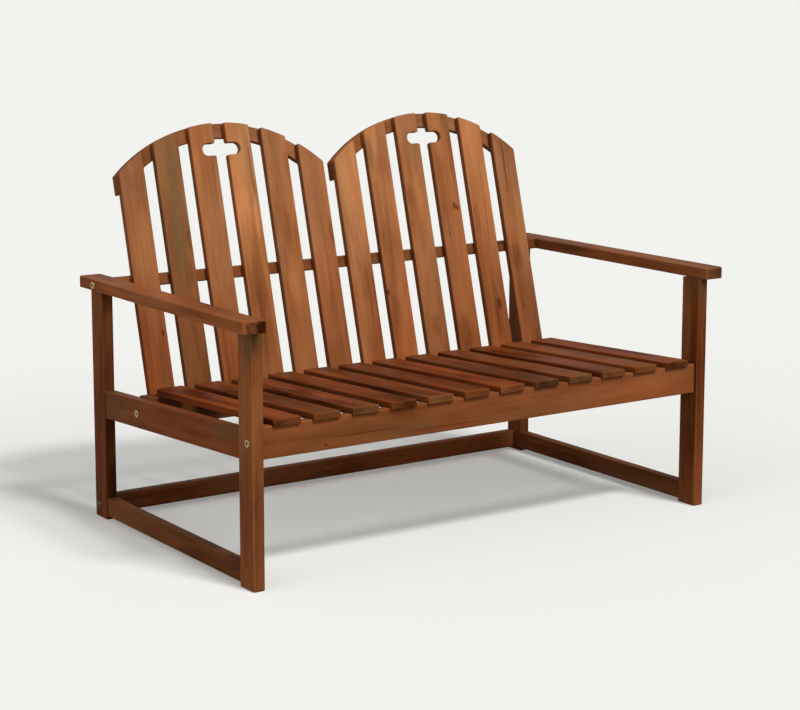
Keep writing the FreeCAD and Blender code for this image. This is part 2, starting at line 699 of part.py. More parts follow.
def main():
    """Build the bench and write each sub-part."""
    os.makedirs("parts", exist_ok=True)
    groups = fastener_groups()
    holes = [item.hole for group in groups.values() for item in group]
    for name, shape in boards().items():
        export(name, drilled(shape, holes))
    for name, group in groups.items():
        export(name, Part.makeCompound([item.solid for item in group]))
    print("side frame depth %.1f, arch radius %.1f, slat pitch %.2f, middle depth %.2f"
          % (SIDE_DEPTH, ARCH_RADIUS, SLAT_PITCH, MIDDLE_DEPTH))


main()
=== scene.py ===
"""Looks for a two-seat slatted garden bench in oiled hardwood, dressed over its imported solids."""

import logging
import math
from dataclasses import dataclass, replace
from enum import Enum
from typing import Iterable, Iterator, Mapping, Sequence, Union

import bmesh
import bpy
from mathutils import Euler, Matrix, Vector


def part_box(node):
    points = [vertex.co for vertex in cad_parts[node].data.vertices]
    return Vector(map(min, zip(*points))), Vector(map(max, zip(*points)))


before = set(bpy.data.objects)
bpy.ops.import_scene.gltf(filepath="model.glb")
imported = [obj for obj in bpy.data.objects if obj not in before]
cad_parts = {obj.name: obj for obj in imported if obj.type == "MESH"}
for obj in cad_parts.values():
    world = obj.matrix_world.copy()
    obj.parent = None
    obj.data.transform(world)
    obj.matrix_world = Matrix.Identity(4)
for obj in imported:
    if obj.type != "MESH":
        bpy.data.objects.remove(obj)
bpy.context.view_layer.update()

LOG = logging.getLogger("bench")

Triple = tuple[float, float, float]
Colour = Triple
Number = Union[float, "Value"]

BLACK: Colour = (0.0, 0.0, 0.0)
WHITE: Colour = (1.0, 1.0, 1.0)
NOISE_MIDDLE = 0.5


# Shader building


@dataclass(frozen=True)
class Layer:
    """One layer of a pattern: noise, with its cycles for each metre along the three axes.

    Its detail is the number of finer layers in it, and its roughness how strong they are. Its order says
    which of a piece's three shifts moves it along each axis. The last three are its shares in the colour's
    shade, in the relief and in the dulling of the gloss.
    """

    stretch: Triple
    detail: float = 2.0
    roughness: float = 0.5
    order: tuple[int, int, int] = (0, 1, 2)
    shade: float = 0.0
    relief: float = 0.0
    dulling: float = 0.0


class Value:
    """A number socket in a material. Arithmetic on it adds Math nodes."""

    def __init__(self, shader: "Shader", socket: bpy.types.NodeSocket) -> None:
        """Keep the material and the socket."""
        self.shader = shader
        self.socket = socket

    def math(self, operation: str, *operands: Number) -> "Value":
        """Add a Math node.

        Args:
            operation: The Math node's operation.
            operands: What goes into its sockets, in order.

        Returns:
            The node's result.
        """
        return self.shader.value("ShaderNodeMath", {"operation": operation}, dict(enumerate(operands)))

    def __add__(self, other: Number) -> "Value":
        """Add a number."""
        return self.math("ADD", self, other)

    def __radd__(self, other: Number) -> "Value":
        """Add to a number."""
        return self.math("ADD", other, self)

    def __sub__(self, other: Number) -> "Value":
        """Take a number away."""
        return self.math("SUBTRACT", self, other)

    def __rsub__(self, other: Number) -> "Value":
        """Take this away from a number."""
        return self.math("SUBTRACT", other, self)

    def __mul__(self, other: Number) -> "Value":
        """Multiply by a number."""
        return self.math("MULTIPLY", self, other)

    def __rmul__(self, other: Number) -> "Value":
        """Multiply a number."""
        return self.math("MULTIPLY", other, self)

    def __truediv__(self, other: Number) -> "Value":
        """Divide by a number."""
        return self.math("DIVIDE", self, other)

    def __rpow__(self, base: float) -> "Value":
        """Raise a number to this power."""
        return self.math("POWER", base, self)

    def root(self) -> "Value":
        """Return the square root."""
        return self.math("SQRT", self)

    def size(self) -> "Value":
        """Return the size without its sign."""
        return self.math("ABSOLUTE", self)

    def wave(self) -> "Value":
        """Return the sine."""
        return self.math("SINE", self)

    def larger(self, other: Number) -> "Value":
        """Return the larger of two numbers."""
        return self.math("MAXIMUM", self, other)

    def step(self, low: float, high: float) -> "Value":
        """Return a smooth step from 0 at a low limit to 1 at a high one.

        Args:
            low: Where the step starts.
            high: Where it ends. It may lie under the start, for a step down.

        Returns:
            The step, between 0 and 1.
        """
        start, end = (0.0, 1.0) if low < high else (1.0, 0.0)
        inputs = {"Value": self, "From Min": min(low, high), "From Max": max(low, high),
                  "To Min": start, "To Max": end}
        return self.shader.value("ShaderNodeMapRange", {"interpolation_type": "SMOOTHSTEP"}, inputs)


class Shader:
    """The nodes of a material or of the world."""

    def __init__(self, owner: Union[bpy.types.Material, bpy.types.World]) -> None:
        """Start with nothing but an output.

        Args:
            owner: The material or the world.
        """
        owner.use_nodes = True
        self.owner = owner
        self.tree = owner.node_tree
        self.tree.nodes.clear()
        is_world = isinstance(owner, bpy.types.World)
        kind = "ShaderNodeOutputWorld" if is_world else "ShaderNodeOutputMaterial"
        self.output = self.node(kind, {}, {})

    def node(self, kind: str, settings: Mapping[str, object],
             inputs: Mapping[object, object]) -> bpy.types.Node:
        """Add a node.

        Args:
            kind: The node's type.
            settings: Its properties and a ramp's stops, set before its sockets.
            inputs: A number, colour, vector, socket or value for each socket's name or place.

        Returns:
            The node.
        """
        made = self.tree.nodes.new(kind)
        for key, setting in settings.items():
            if key == "stops":
                fill_ramp(made.color_ramp, setting)
            else:
                setattr(made, key, setting)
        for key, given in inputs.items():
            source = given.socket if isinstance(given, Value) else given
            if isinstance(source, bpy.types.NodeSocket):
                self.tree.links.new(source, made.inputs[key])
            else:
                made.inputs[key].default_value = source
        return made

    def value(self, kind: str, settings: Mapping[str, object], inputs: Mapping[object, object]) -> Value:
        """Add a node and return its first output as a value."""
        return Value(self, self.node(kind, settings, inputs).outputs[0])

    def blend(self, factor: Number, first: object, second: object,
              mode: str = "MIX") -> bpy.types.NodeSocket:
        """Mix two colours.

        Args:
            factor: The second colour's share.
            first: The colour at 0.
            second: The colour at 1.
            mode: The Mix node's blend type.

        Returns:
            The mixed colour's socket.
        """
        settings = {"data_type": "RGBA", "blend_type": mode}
        inputs = {0: factor, 6: opaque(first), 7: opaque(second)}
        return self.node("ShaderNodeMix", settings, inputs).outputs[2]

    def coordinates(self) -> bpy.types.Node:
        """Return a Texture Coordinate node."""
        return self.node("ShaderNodeTexCoord", {}, {})

    def split(self, vector: bpy.types.NodeSocket) -> tuple[Value, ...]:
        """Return a vector's three numbers."""
        apart = self.node("ShaderNodeSeparateXYZ", {}, {0: vector})
        return tuple(Value(self, socket) for socket in apart.outputs)

    def noise(self, layer: Layer, place: bpy.types.NodeSocket, shifts: Triple) -> Value:
        """Return a layer's noise, about one half.

        Args:
            layer: The layer.
            place: The coordinates that it reads.
            shifts: Where in the noise the piece lies.

        Returns:
            The noise.
        """
        shift = tuple(shifts[index] for index in layer.order)
        moved = self.node("ShaderNodeMapping", {"vector_type": "POINT"},
                          {"Vector": place, "Location": shift, "Scale": layer.stretch})
        inputs = {"Vector": moved.outputs[0], "Scale": 1.0, "Detail": layer.detail,
                  "Roughness": layer.roughness}
        return self.value("ShaderNodeTexNoise", {"noise_dimensions": "3D"}, inputs)

    def finish(self, surface: bpy.types.NodeSocket) -> None:
        """Join a shader to the output."""
        self.tree.links.new(surface, self.output.inputs["Surface"])

    def principled(self, inputs: Mapping[str, object]) -> bpy.types.Material:
        """Finish the material with a Principled shader that has the given sockets, and return it."""
        self.finish(self.node("ShaderNodeBsdfPrincipled", {}, inputs).outputs[0])
        return self.owner

    def seen(self) -> Value:
        """Return 1 where the camera looks straight or through a gloss or glass, and 0 for other light."""
        path = self.node("ShaderNodeLightPath", {}, {})
        camera, glossy, through = (Value(self, path.outputs[name]) for name in
                                   ("Is Camera Ray", "Is Glossy Ray", "Is Transmission Ray"))
        return camera.larger(glossy).larger(through)

    def bump(self, height: Number, distance: float, strength: float) -> bpy.types.NodeSocket:
        """Return a normal that is bumped by a height.

        Args:
            height: The height, in shares of the distance.
            distance: What a height of 1 stands for, in metres.
            strength: The bump's share.

        Returns:
            The normal's socket.
        """
        inputs = {"Height": height, "Distance": distance, "Strength": strength}
        return self.node("ShaderNodeBump", {}, inputs).outputs[0]


def opaque(colour: object) -> object:
    """Give a plain colour its alpha, and return a socket as it is."""
    return (*colour, 1.0) if isinstance(colour, tuple) else colour


def scaled(colour: Colour, factors: Colour) -> Colour:
    """Multiply a colour channel by channel."""
    return tuple(channel * factor for channel, factor in zip(colour, factors))


def fill_ramp(ramp: bpy.types.ColorRamp, stops: Iterable[tuple[float, Colour]]) -> None:
    """Set a colour ramp's stops.

    Args:
        ramp: The ramp, with its two first stops.
        stops: The place and colour of each stop, in rising order.
    """
    for index, (position, colour) in enumerate(stops):
        stop = ramp.elements[index] if index < 2 else ramp.elements.new(1.0)
        stop.position = position
        stop.color = opaque(colour)


# Wood


AXES = {"x": Vector((1.0, 0.0, 0.0)), "y": Vector((0.0, 1.0, 0.0)), "z": Vector((0.0, 0.0, 1.0))}
# How far a fully red tone moves the red, green and blue
REDDENING = (0.10, -0.12, -0.22)
# How far a board's tree lies from the next one's in the noise, in cycles
TREE_STEPS = (3.1, 1.7, 0.9)


class Run(Enum):
    """The bench's axes that a board's grain and width lie along, and how steeply it lies, in degrees."""

    CROSS_RAIL = ("x", "z", 0.0)
    SIDE_RAIL = ("y", "z", 0.0)
    SLOPING_RAIL = ("y", "z", -2.8)
    POST = ("z", "y", 0.0)
    ARMREST = ("y", "x", 0.0)
    SEAT_SLAT = ("y", "x", -2.8)
    BACK_SLAT = ("z", "x", -15.1)
    BATTEN = ("x", "z", -15.1)

    def turn(self) -> Matrix:
        """Return the turn from a board's own axes (grain, width, thickness) to the bench's."""
        grain, width, slope = self.value
        lying = Matrix((AXES[grain], AXES[width], AXES[grain].cross(AXES[width]))).transposed()
        return Matrix.Rotation(math.radians(slope), 3, "X") @ lying


@dataclass(frozen=True)
class Tone:
    """How a board differs from its timber: lighter above 1, redder above 0, and its share of olive."""

    lightness: float = 1.0
    redness: float = 0.0
    olive: float = 0.15

    def of(self, timber: Colour) -> Colour:
        """Return the timber's colour in this tone."""
        return tuple(channel * (self.lightness * (1.0 + gain * self.redness))
                     for channel, gain in zip(timber, REDDENING))


@dataclass(frozen=True)
class Mark:
    """A knot, crack or stain, in metres from a board's middle along and across its grain.

    Its length and width are measured from its own middle. Its depth is how much it darkens the wood, or
    under 0 how much it lightens it. Its soft share is how much of it fades out, its swirl is how far it
    pushes the rings aside, and green is its share of olive.
    """

    along: float
    across: float
    length: float
    width: float
    depth: float = 0.5
    soft: float = 0.8
    swirl: float = 0.0
    green: float = 0.0


def cut_end(depth: float, green: float = 0.0) -> Mark:
    """Return the mark that shades the whole front end of a seat slat.

    Args:
        depth: How much darker the end is, or under 0 how much lighter.
        green: Its share of olive.

    Returns:
        The mark.
    """
    return Mark(along=-0.237, across=0.0, length=0.006, width=0.04, depth=depth, soft=0.5, green=green)


# The grain's layers, and how far two of them push the rings aside, in metres
CLOUDS = Layer((3.2, 13.0, 13.0), 3.0, 0.55, shade=1.20, dulling=0.20)
STREAKS = Layer((4.0, 130.0, 130.0), 3.0, 0.6, shade=0.32, relief=0.5)
FIBRES = Layer((26.0, 1100.0, 1100.0), shade=0.22, relief=0.8, dulling=0.25)
HUES = Layer((2.6, 12.0, 12.0), roughness=0.55, order=(2, 1, 0))
PATCHES = Layer((3.0, 20.0, 20.0), roughness=0.6, order=(1, 2, 0))
PORES = Layer((45.0, 1500.0, 1500.0), detail=1.0, order=(2, 0, 1), relief=0.6)
WANDER = Layer((1.9, 4.0, 4.0))
WANDER_REACH = 0.060
WAVER = Layer((7.0, 24.0, 24.0))
WAVER_REACH = 0.009

# The rings are two waves of equal share, and the slower one breaks up the regular beat
WAVE_SHARE = 0.5
RING_SHADE = 0.05
RING_RELIEF = 0.25
SLOW_RINGS = 0.47
SLOW_LAG = 1.9

# The pith: how far behind the board it lies, how far it strays, and how fast that changes with the seed
PITH_DEPTH = 0.050
PITH_STRAY = 0.030
PITH_ACROSS_TURN = 2.4
PITH_THROUGH_TURN = 1.3
PITH_THROUGH_START = 1.0

# The figure: its shades from dark to light, and what its two hues multiply the timber's colour by
FIGURE_MIDDLE = 0.52
FIGURE_SHADES = (
    (0.0, (0.133, 0.100, 0.080)),
    (0.28, (0.410, 0.370, 0.330)),
    (FIGURE_MIDDLE, (0.667, 0.667, 0.667)),
    (0.78, (0.880, 0.940, 0.960)),
)
HUE_STEP = (0.30, 0.70)
RED_HUE = (1.57, 1.42, 1.28)
GOLD_HUE = (1.44, 1.58, 1.72)

# Olive patches: where they start and are full, how much sooner on an olive board, and how strong they are
PATCH_START = 0.72
PATCH_START_GAIN = 0.30
PATCH_FULL = 0.86
PATCH_FULL_GAIN = 0.10
PATCH_SHARE = 0.75

# How squarely a face lies to a board's axes where it counts as an eased edge, a cut end or a long side
EDGE_STEP = (0.99, 0.85)
END_STEP = (0.6, 0.9)
FLANK_STEP = (0.5, 0.9)

# Cut ends, painted highlight with wear on eased edges, pores, the painted shade and light that fade from a
# board's foot to its head, and the relief in metres
END_GRAIN = (0.78, 0.87, 0.92)
END_DULLING = 0.2
EDGE_LIGHT_AND_WEAR = 0.35
EDGE_STREAKS = 0.8
PORE_STEP = (0.62, 0.75)
FADE_STEP = (-0.20, 0.15)
RELIEF = 0.00035
RELIEF_SHARE = 0.6

# Where a mark ends and where a hard one is full, as a squared share of its size, and its swirl's fading
MARK_RIM = 1.3
MARK_CORE = 1.25
SWIRL_FADE = -0.35


class BoardShader(Shader):
    """A board's material in the making, in the board's own axes."""

    def __init__(self, node: str, run: Run, seed: int) -> None:
        """Lay the board's axes over it.

        Args:
            node: The board's node, whose box gives the board's middle.
            run: Which way its grain runs.
            seed: Which part of the tree it comes from.
        """
        super().__init__(bpy.data.materials.new(node + "_wood"))
        low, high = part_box(node)
        self.seed = seed
        self.shifts = tuple(step * seed for step in TREE_STEPS)
        self.turn = run.turn()
        self.source = self.coordinates()
        inputs = {"Vector": self.source.outputs["Object"], "Location": (low + high) / 2,
                  "Rotation": self.turn.to_euler()}
        self.place = self.node("ShaderNodeMapping", {"vector_type": "TEXTURE"}, inputs).outputs[0]
        self.along, self.across, self.through = self.split(self.place)

    def layer(self, layer: Layer) -> Value:
        """Return a layer of the grain, about one half."""
        return self.noise(layer, self.place, self.shifts)

    def swing(self, layer: Layer) -> Value:
        """Return a layer of the grain, about zero."""
        return self.layer(layer) - NOISE_MIDDLE

    def rings(self, spacing: float, swirl: Number) -> Value:
        """Draw the tree's rings.

        Args:
            spacing: The distance from ring to ring.
            swirl: How far the board's marks push the rings aside.

        Returns:
            The rings, about zero.
        """
        pith_across = PITH_STRAY * math.sin(PITH_ACROSS_TURN * self.seed)
        turned = PITH_THROUGH_TURN * self.seed + PITH_THROUGH_START
        side = self.across - pith_across
        below = self.through + (PITH_DEPTH + PITH_STRAY * math.sin(turned))
        straight = (side * side + below * below).root()
        radius = straight + self.swing(WANDER) * WANDER_REACH + self.swing(WAVER) * WAVER_REACH + swirl
        turns = radius * (math.tau / spacing)
        return turns.wave() * WAVE_SHARE + (turns * SLOW_RINGS + SLOW_LAG).wave() * WAVE_SHARE

    def marked(self, marks: Sequence[Mark]) -> tuple[Number, Number, Number]:
        """Draw the board's marks.

        Args:
            marks: The marks.

        Returns:
            How much each point is darkened, how far the rings are pushed aside there, and its olive share.
        """
        dark, pushed, green = 0.0, 0.0, 0.0
        for mark in marks:
            reach = (self.along - mark.along) / mark.length
            spread = (self.across - mark.across) / mark.width
            near = reach * reach + spread * spread
            inside = near.step(MARK_RIM, MARK_CORE - mark.soft * MARK_CORE)
            dark = inside * mark.depth + dark
            if mark.swirl:
                pushed = (math.e ** (near * SWIRL_FADE)) * mark.swirl + pushed
            if mark.green:
                green = inside * mark.green + green
        return dark, pushed, green

    def facing(self) -> tuple[Value, Value, Value]:
        """Tell eased edges and cut ends from flat faces by the way that they face.

        Returns:
            The share of an eased edge, the share of end grain, and the share of a narrow long side.
        """
        squareness = []
        for axis in self.turn.transposed():
            inputs = {0: self.source.outputs["Normal"], 1: tuple(axis)}
            dot = self.node("ShaderNodeVectorMath", {"operation": "DOT_PRODUCT"}, inputs)
            squareness.append(Value(self, dot.outputs["Value"]).size())
        ends, flanks, faces = squareness
        flat = ends.larger(flanks).larger(faces)
        return flat.step(*EDGE_STEP), ends.step(*END_STEP), flanks.step(*FLANK_STEP)


@dataclass(frozen=True)
class Timber:
    """An oiled hardwood and how it is drawn on a board.

    The contrast is the figure's. Edge, flank, foot and head are what an eased edge, a narrow long side and
    the board's two halves multiply the colour by. A light edge is a painted highlight with wear and a dark
    one is painted shade; the flank is painted shade between the boards, and the foot and head are painted
    shade low on a board and painted light high on it.
    """

    colour: Colour
    sheen: float
    contrast: float
    edge: Colour = (1.5, 1.6, 1.6)
    flank: Colour = WHITE
    foot: Colour = WHITE
    head: Colour = WHITE
    olive: Colour = (0.150, 0.085, 0.032)
    ring_spacing: float = 0.0085
    roughness: float = 0.48

    def material(self, node: str, run: Run, tone: Tone, seed: int,
                 marks: Sequence[Mark]) -> bpy.types.Material:
        """Make one board's material.

        Args:
            node: The board's node.
            run: Which way its grain runs.
            tone: How it differs from the timber.
            seed: Which part of the tree it comes from.
            marks: Its knots, cracks and stains.

        Returns:
            The material.
        """
        shader = BoardShader(node, run, seed)
        knots, swirl, stain_and_side_shade = shader.marked(marks)
        rings = shader.rings(self.ring_spacing, swirl)
        clouds = shader.swing(CLOUDS)
        streaks = shader.swing(STREAKS)
        fibres = shader.swing(FIBRES)
        edges, ends, flanks = shader.facing()

        grain = (clouds * CLOUDS.shade + streaks * STREAKS.shade + rings * RING_SHADE
                 + fibres * FIBRES.shade)
        figure = FIGURE_MIDDLE + self.contrast * grain - knots
        cut = shader.blend(ends, self.planed(shader, tone, figure, stain_and_side_shade), END_GRAIN, "MULTIPLY")
        # Eased edges: wear with a painted highlight where the edge colour is light, painted shade where it
        # is dark
        edge_light_and_wear = edges * (EDGE_LIGHT_AND_WEAR + EDGE_STREAKS * streaks)
        edge_lit_and_worn = shader.blend(edge_light_and_wear, cut, scaled(tone.of(self.colour), self.edge))

        pores = shader.layer(PORES).step(*PORE_STEP)
        height = (rings * RING_RELIEF + fibres * FIBRES.relief + streaks * STREAKS.relief
                  - pores * PORES.relief)
        gloss = (self.roughness + clouds * CLOUDS.dulling + fibres * FIBRES.dulling
                 + ends * END_DULLING)
        return shader.principled({
            "Base Color": self.paint_side_and_foot_shade(shader, edge_lit_and_worn, flanks),
            "Roughness": gloss,
            "Specular IOR Level": self.sheen,
            "Normal": shader.bump(height, RELIEF, RELIEF_SHARE),
        })

    def planed(self, shader: BoardShader, tone: Tone, figure: Value,
               stain_and_side_shade: Number) -> bpy.types.NodeSocket:
        """Colour a board's flat faces.

        Args:
            shader: The board's shader.
            tone: How the board differs from the timber.
            figure: How light the figure is.
            stain_and_side_shade: The olive share of the board's marks.

        Returns:
            The colour's socket.
        """
        mean = tone.of(self.colour)
        share = shader.layer(HUES).step(*HUE_STEP)
        hue = shader.blend(share, scaled(mean, RED_HUE), scaled(mean, GOLD_HUE))
        shade = shader.node("ShaderNodeValToRGB", {"stops": FIGURE_SHADES}, {0: figure})
        wood = shader.blend(1.0, hue, shade.outputs[0], "MULTIPLY")
        patches = shader.layer(PATCHES).step(PATCH_START - PATCH_START_GAIN * tone.olive,
                                             PATCH_FULL - PATCH_FULL_GAIN * tone.olive)
        return shader.blend(patches * PATCH_SHARE + stain_and_side_shade, wood, self.olive)

    def paint_side_and_foot_shade(self, shader: BoardShader, colour: bpy.types.NodeSocket,
                  flanks: Value) -> bpy.types.NodeSocket:
        """Paint shade on the long sides, and shade at the board's foot that fades into painted light at
        its head.

        Args:
            shader: The board's shader.
            colour: The colour before.
            flanks: The share of a narrow long side.

        Returns:
            The colour's socket.
        """
        # Painted shade on the narrow long sides, standing in for the shade between neighbouring slats
        stain_and_side_shade = shader.blend(1.0, colour, shader.blend(flanks, WHITE, self.flank), "MULTIPLY")
        # Painted shade low on the board, fading into painted light high on it
        fade = shader.blend(shader.along.step(*FADE_STEP), self.foot, self.head)
        return shader.blend(1.0, stain_and_side_shade, fade, "MULTIPLY")


# The frame's lighter eased edges are a painted highlight with wear
FRAME_TIMBER = Timber(colour=(0.213, 0.066, 0.021), sheen=0.015, contrast=1.35)
PLAIN_TIMBER = replace(FRAME_TIMBER, contrast=0.75)
# The seat's light edges are a painted highlight with wear, and its flanks carry a little painted shade
SEAT_TIMBER = Timber(
    colour=(0.160, 0.041, 0.0115),
    sheen=0.008,
    contrast=1.6,
    edge=(1.60, 1.70, 1.60),
    flank=(0.92, 0.90, 0.90),
)
# The back's dark edges and flanks are painted shade; its foot is painted shade near the seat and its head
# painted light at the top
BACK_TIMBER = Timber(
    colour=(0.308, 0.110, 0.037),
    sheen=0.03,
    contrast=1.00,
    edge=(0.60, 0.50, 0.45),
    flank=(0.62, 0.50, 0.44),
    foot=(0.80, 0.70, 0.64),
    head=(1.10, 1.19, 1.30),
)
BATTEN_TONE = Tone(0.90, redness=-0.1, olive=0.1)


@dataclass(frozen=True)
class Board:
    """One board: its node, its grain, its timber, its tone and its marks."""

    node: str
    run: Run
    timber: Timber
    tone: Tone
    marks: tuple[Mark, ...] = ()

    def dress(self, seed: int) -> None:
        """Give the board its own material.

        Args:
            seed: Which part of the tree it comes from.
        """
        material = self.timber.material(self.node, self.run, self.tone, seed, self.marks)
        dress_node(self.node, material)


def dress_node(node: str, material: bpy.types.Material) -> None:
    """Put a material on a node's slots and report it.

    Args:
        node: The node.
        material: The material.
    """
    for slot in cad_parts[node].material_slots:
        slot.material = material
    LOG.info("%s has %s", node, material.name)


# Metal and dowels


# The zinc's haze and scratches and the beech's flecks, with where in the noise each piece lies
HAZE = Layer((260.0, 260.0, 260.0), detail=3.0, relief=0.6, dulling=0.3)
HAZE_SHIFTS = (1.0, 2.0, 3.0)
HAZE_STEP = (0.3, 0.7)
SCRATCHES = Layer((900.0, 2600.0, 2600.0), relief=0.4)
SCRATCH_SHIFTS = (4.0, 1.0, 2.0)
FLECKS = Layer((420.0, 420.0, 420.0), detail=3.0, dulling=0.2)
FLECK_SHIFTS = (5.0, 1.0, 2.0)
FLECK_STEP = (0.45, 0.75)
PLATE_RELIEF = 0.00008
BEECH_RELIEF = 0.0001
SMALL_RELIEF_SHARE = 0.5

# A bolt's tool socket, painted as a dark disc of shade: where its dark starts and is full, in shares of
# its radius, and its looks
SOCKET_RIM = 1.25
SOCKET_CORE = 0.9
SOCKET_SHADE_COLOUR = (0.035, 0.026, 0.014)
SOCKET_DULLING = 0.3


@dataclass(frozen=True)
class Plating:
    """The finish of small steel fasteners: a colour, with a haze of a second tint."""

    name: str
    colour: Colour
    tint: Colour
    roughness: float

    def material(self, node: str, axis: tuple[float, float] | None = None,
                 socket: float = 0.0) -> bpy.types.Material:
        """Make the material.

        Args:
            node: The node that it is for.
            axis: The depth and height of a bolt's axis, where the node's fasteners share one.
            socket: The radius of the tool socket about that axis, painted dark as shade.

        Returns:
            The material.
        """
        shader = Shader(bpy.data.materials.new(node + "_" + self.name))
        place = shader.coordinates().outputs["Object"]
        haze = shader.noise(HAZE, place, HAZE_SHIFTS)
        scratches = shader.noise(SCRATCHES, place, SCRATCH_SHIFTS)
        plate = shader.blend(haze.step(*HAZE_STEP), self.colour, self.tint)
        gloss = self.roughness + (haze - NOISE_MIDDLE) * HAZE.dulling
        if axis:
            _, rearward, upward = shader.split(place)
            deep = rearward - axis[0]
            high = upward - axis[1]
            radius = (deep * deep + high * high).root()
            # Painted shade in the tool socket
            socket_shade = radius.step(socket * SOCKET_RIM, socket * SOCKET_CORE)
            plate = shader.blend(socket_shade, plate, SOCKET_SHADE_COLOUR)
            gloss = gloss + socket_shade * SOCKET_DULLING
        height = haze * HAZE.relief + scratches * SCRATCHES.relief
        return shader.principled({
            "Base Color": plate,
            "Roughness": gloss,
            "Metallic": 1.0,
            "Normal": shader.bump(height, PLATE_RELIEF, SMALL_RELIEF_SHARE),
        })


YELLOW_ZINC = Plating("yellow_zinc", (0.42, 0.29, 0.12), (0.30, 0.22, 0.10), 0.40)
# Zinc darkened partly by dull oxide and partly as painted shade for fasteners low in the bench's shade
OXIDISED_AND_SHADED_ZINC = Plating("oxidised_and_shaded_zinc", (0.17, 0.105, 0.045), (0.10, 0.065, 0.030), 0.50)
BROWNED_STEEL = Plating("browned_steel", (0.055, 0.028, 0.014), (0.030, 0.018, 0.010), 0.55)


@dataclass(frozen=True)
class Beech:
    """Plain beech with short flecks, for dowels."""

    colour: Colour = (0.52, 0.34, 0.19)
    fleck: Colour = (0.36, 0.21, 0.10)
    roughness: float = 0.6

    def material(self, node: str) -> bpy.types.Material:
        """Make the material.

        Args:
            node: The node that it is for.

        Returns:
            The material.
        """
        shader = Shader(bpy.data.materials.new(node + "_beech"))
        flecks = shader.noise(FLECKS, shader.coordinates().outputs["Object"], FLECK_SHIFTS)
        return shader.principled({
            "Base Color": shader.blend(flecks.step(*FLECK_STEP), self.colour, self.fleck),
            "Roughness": self.roughness + (flecks - NOISE_MIDDLE) * FLECKS.dulling,
            "Normal": shader.bump(flecks, BEECH_RELIEF, SMALL_RELIEF_SHARE),
        })


# The bench


class Side(Enum):
    """An end of the bench, as seen from the front."""

    LEFT = "left"
    RIGHT = "right"


@dataclass
class BoardSet:
    """Boards that belong together. Each comes from the next part of the tree."""

    first_seed: int

    def boards(self) -> Iterator[Board]:
        """List the boards."""
        raise NotImplementedError

    def dress(self) -> None:
        """Dress the boards one after another."""
        for seed, board in enumerate(self.boards(), self.first_seed):
            board.dress(seed)


@dataclass
class SideFrame(BoardSet):
    """An end frame: two posts, an armrest and two rails."""

    side: Side
    tones: Mapping[str, Tone]
    marks: Mapping[str, tuple[Mark, ...]]

    def boards(self) -> Iterator[Board]:
        """List the frame's boards."""
        runs = {
            "front_post": Run.POST,
            "rear_post": Run.POST,
            "armrest": Run.ARMREST,
            "seat_side_rail": Run.SLOPING_RAIL,
            "bottom_side_rail": Run.SIDE_RAIL,
        }
        for piece, run in runs.items():
            node = self.side.value + "_" + piece
            yield Board(node, run, FRAME_TIMBER, self.tones[piece], self.marks.get(piece, ()))


@dataclass
class CrossRails(BoardSet):
    """The boards that join the end frames."""

    tones: Mapping[str, Tone]
    marks: Mapping[str, tuple[Mark, ...]]

    def boards(self) -> Iterator[Board]:
        """List the cross rails."""
        for node, tone in self.tones.items():
            timber = PLAIN_TIMBER if node == "front_apron" else FRAME_TIMBER
            yield Board(node, Run.CROSS_RAIL, timber, tone, self.marks.get(node, ()))


@dataclass
class Seat(BoardSet):
    """The seat's slats, from left to right."""

    tones: Sequence[Tone]
    marks: Mapping[int, tuple[Mark, ...]]

    def boards(self) -> Iterator[Board]:
        """List the seat slats."""
        for number, tone in enumerate(self.tones, 1):
            node = "seat_slat_%02d" % number
            yield Board(node, Run.SEAT_SLAT, SEAT_TIMBER, tone, self.marks.get(number, ()))


@dataclass
class Back(BoardSet):
    """The back's slats, from left to right, and the two arched battens behind them."""

    tones: Sequence[Tone]
    marks: Mapping[int, tuple[Mark, ...]]

    def boards(self) -> Iterator[Board]:
        """List the back slats and then their battens."""
        for number, tone in enumerate(self.tones, 1):
            node = "back_slat_%02d" % number
            yield Board(node, Run.BACK_SLAT, BACK_TIMBER, tone, self.marks.get(number, ()))
        for side in Side:
            yield Board(side.value + "_back_top_batten", Run.BATTEN, BACK_TIMBER, BATTEN_TONE)


@dataclass
class Fasteners:
    """Bolts, barrel nuts, screws and dowels. The socket is the one for a tool in a bolt's head, painted as
    a dark disc of shade.
    """

    socket_radius: float = 0.0029

    def dress(self) -> None:
        """Dress every group of fasteners."""
        bolts = {
            "apron_bolts": YELLOW_ZINC,
            "seat_rail_bolts": YELLOW_ZINC,
            "back_rail_bolts": YELLOW_ZINC,
            # The stretcher bolts are darker: dull oxide with painted shade
            "stretcher_bolts": OXIDISED_AND_SHADED_ZINC,
        }
        for node, plating in bolts.items():
            low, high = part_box(node)
            middle = (low + high) / 2
            dress_node(node, plating.material(node, (middle.y, middle.z), self.socket_radius))
        dress_node("barrel_nuts", OXIDISED_AND_SHADED_ZINC.material("barrel_nuts"))
        for node in ("top_batten_screws", "back_rail_screws", "seat_rail_screws"):
            dress_node(node, BROWNED_STEEL.material(node))
        for node in ("side_frame_dowels", "armrest_dowels", "seat_slat_dowels"):
            dress_node(node, Beech().material(node))


# The studio


@dataclass(frozen=True)
class Lamp:
    """A distant lamp.

    Its slant and depth are how far its light goes right and rearwards for each metre down. Its share is
    what it adds to the floor's light, and its angle is how wide it looks, in degrees. Its height doesn't
    change its light.
    """

    slant: float
    depth: float
    share: float
    angle: float
    height: float = 2.0

    def hang(self, name: str) -> None:
        """Hang the lamp, at the strength that gives the floor its share of a plain level.

        Args:
            name: The lamp's name.
        """
        fall = Vector((self.slant, self.depth, -1.0))
        lamp = bpy.data.lights.new(name, "SUN")
        lamp.energy = math.pi * self.share * fall.length
        lamp.angle = math.radians(self.angle)
        sun = bpy.data.objects.new(name, lamp)
        sun.rotation_euler = fall.to_track_quat("-Z", "Y").to_euler()
        sun.location = -self.height * fall
        bpy.context.scene.collection.objects.link(sun)


